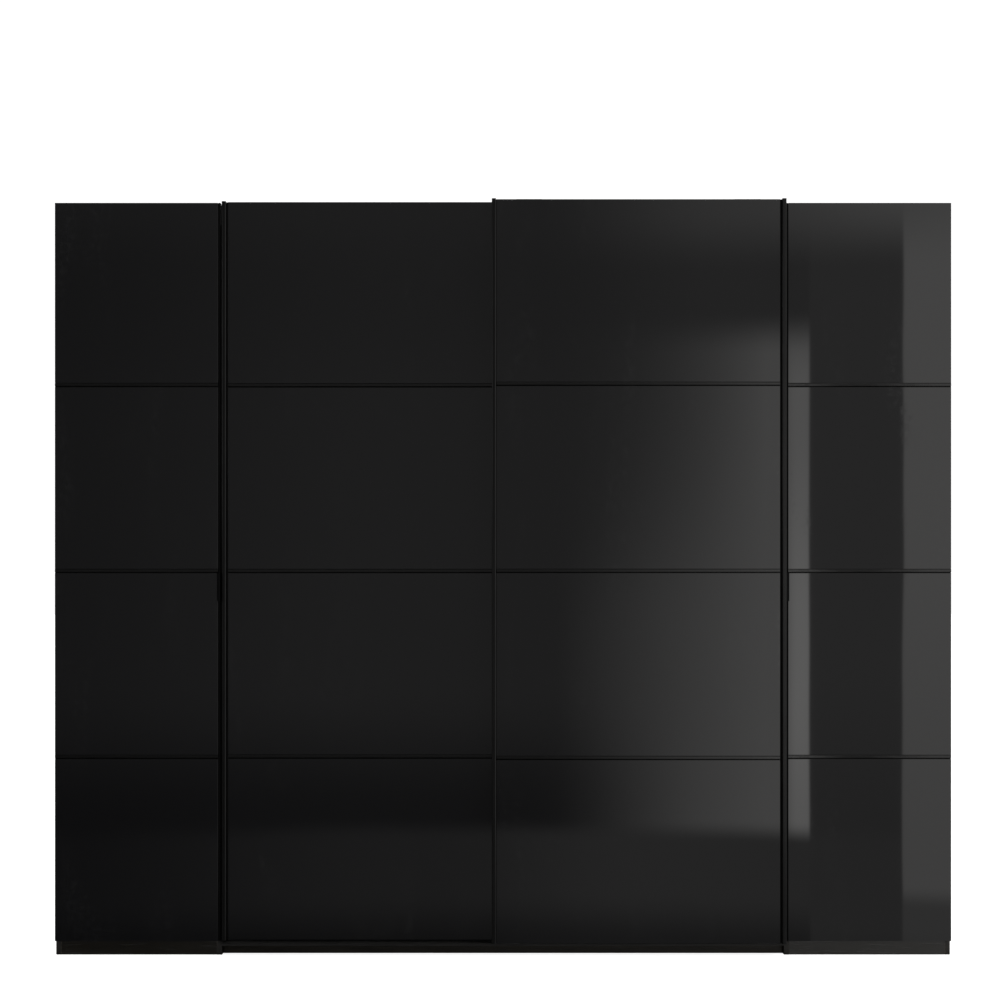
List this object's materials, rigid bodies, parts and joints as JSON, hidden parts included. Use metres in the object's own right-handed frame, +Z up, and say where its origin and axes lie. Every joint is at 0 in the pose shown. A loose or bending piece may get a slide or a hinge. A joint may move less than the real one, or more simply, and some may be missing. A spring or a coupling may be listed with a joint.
{
  "type": "combination wardrobe with sliding and hinged doors",
  "caption": "Wide gloss black glass wardrobe: overlapping sliding doors in the middle, a hinged door at each end, shelves, hat shelves and clothes rails inside.",
  "frame": {"origin": "middle of the footprint on the floor", "axes": "+X along the width to the right seen from the front, +Y from the front to the wall, +Z up"},
  "size_m": [2.8, 0.66, 2.36],
  "materials": {
    "dark_decor": "black-brown wood decor, fine grain, satin",
    "carcass_decor": "black-brown wood decor outside and on the edges, light linen decor on the inside",
    "inner_decor": "light linen decor, matt",
    "backboard": "thin fibreboard, light foil on the inside",
    "black_glass": "black back-painted glass, high gloss, opaque",
    "black_aluminium": "black anodised, fine brushed",
    "black_metal": "black powder coat, satin",
    "dark_track": "dark anodised extrusion",
    "steel": "zinc-plated steel",
    "chrome": "polished",
    "nylon": "white nylon",
    "black_plastic": "black moulded plastic",
    "black_rubber": "black rubber"
  },
  "bodies": {
    "cabinet": {"side_panel_left": "carcass_decor", "side_panel_right": "carcass_decor", "partition_left": "carcass_decor", "partition_right": "carcass_decor", "centre_partition": "inner_decor", "side_top_panels": "carcass_decor", "centre_top_panel": "carcass_decor", "side_base_panels": "inner_decor", "centre_base_panel": "inner_decor", "back_panels": "backboard", "closing_fin": "black_aluminium", "side_plinths": "dark_decor", "centre_plinth": "dark_decor", "plinth_bearers": "dark_decor", "shelves_left": "inner_decor", "shelves_right": "inner_decor", "hat_shelves": "inner_decor", "clothes_rails": "chrome", "rail_brackets": "chrome", "shelf_pins": "steel", "cam_locks": "steel", "levelling_feet": "black_plastic", "wall_brackets": "steel", "screws": "steel", "top_track": "dark_track", "track_stops": "black_rubber", "bottom_track": "dark_track", "hinge_arms": "steel"},
    "left_door": {"left_door_panel": "dark_decor", "left_door_glass": "black_glass", "left_door_trims": "black_aluminium", "left_door_edge": "black_aluminium", "left_door_handle": "black_metal", "left_hinge_cups": "steel"},
    "left_link": {"left_hinge_links": "steel"},
    "right_door": {"right_door_panel": "dark_decor", "right_door_glass": "black_glass", "right_door_trims": "black_aluminium", "right_door_edge": "black_aluminium", "right_door_handle": "black_metal", "right_hinge_cups": "steel"},
    "right_link": {"right_hinge_links": "steel"},
    "rear_door": {"rear_door_panel": "dark_decor", "rear_door_glass": "black_glass", "rear_door_trims": "black_aluminium", "rear_door_strips": "black_aluminium", "rear_door_hangers": "steel", "rear_door_screws": "steel", "rear_door_guides": "black_plastic"},
    "rear_wheel_left": {"rear_wheel_left": "nylon"},
    "rear_wheel_right": {"rear_wheel_right": "nylon"},
    "front_door": {"front_door_panel": "dark_decor", "front_door_glass": "black_glass", "front_door_trims": "black_aluminium", "front_door_strips": "black_aluminium", "front_door_hangers": "steel", "front_door_screws": "steel", "front_door_guides": "black_plastic"},
    "front_wheel_left": {"front_wheel_left": "nylon"},
    "front_wheel_right": {"front_wheel_right": "nylon"}
  },
  "joints": [
    {"name": "left_link_slide", "type": "slide", "parent": "cabinet", "child": "left_link", "axis": [0, -1, 0], "range_m": [0, 0.0295]},
    {"name": "left_door_swing", "type": "hinge", "parent": "left_link", "child": "left_door", "pos_m": [-1.38, -0.268, 1.174], "axis": [0, 0, -1], "range_deg": [0, 95]},
    {"name": "right_link_slide", "type": "slide", "parent": "cabinet", "child": "right_link", "axis": [0, -1, 0], "range_m": [0, 0.0295]},
    {"name": "right_door_swing", "type": "hinge", "parent": "right_link", "child": "right_door", "pos_m": [1.38, -0.268, 1.174], "axis": [0, 0, 1], "range_deg": [0, 95]},
    {"name": "rear_door_slide", "type": "slide", "parent": "cabinet", "child": "rear_door", "axis": [1, 0, 0], "range_m": [0, 0.842]},
    {"name": "rear_wheel_left_spin", "type": "hinge", "parent": "rear_door", "child": "rear_wheel_left", "pos_m": [-0.7615, -0.185, 2.318], "axis": [0, 1, 0], "range_deg": [-5, 3721]},
    {"name": "rear_wheel_right_spin", "type": "hinge", "parent": "rear_door", "child": "rear_wheel_right", "pos_m": [-0.0815, -0.185, 2.318], "axis": [0, 1, 0], "range_deg": [-5, 3721]},
    {"name": "front_door_slide", "type": "slide", "parent": "cabinet", "child": "front_door", "axis": [1, 0, 0], "range_m": [-0.842, 0]},
    {"name": "front_wheel_left_spin", "type": "hinge", "parent": "front_door", "child": "front_wheel_left", "pos_m": [0.0815, -0.135, 2.318], "axis": [0, 1, 0], "range_deg": [-3721, 5]},
    {"name": "front_wheel_right_spin", "type": "hinge", "parent": "front_door", "child": "front_wheel_right", "pos_m": [0.7615, -0.135, 2.318], "axis": [0, 1, 0], "range_deg": [-3721, 5]}
  ],
  "couplings": [
    {"joint": "left_link_slide", "follows": "left_door_swing", "m_per_rad": 0.0175},
    {"joint": "right_link_slide", "follows": "right_door_swing", "m_per_rad": 0.0175},
    {"joint": "rear_wheel_left_spin", "follows": "rear_door_slide", "rad_per_m": 76.923},
    {"joint": "rear_wheel_right_spin", "follows": "rear_door_slide", "rad_per_m": 76.923},
    {"joint": "front_wheel_left_spin", "follows": "front_door_slide", "rad_per_m": 76.923},
    {"joint": "front_wheel_right_spin", "follows": "front_door_slide", "rad_per_m": 76.923}
  ]
}
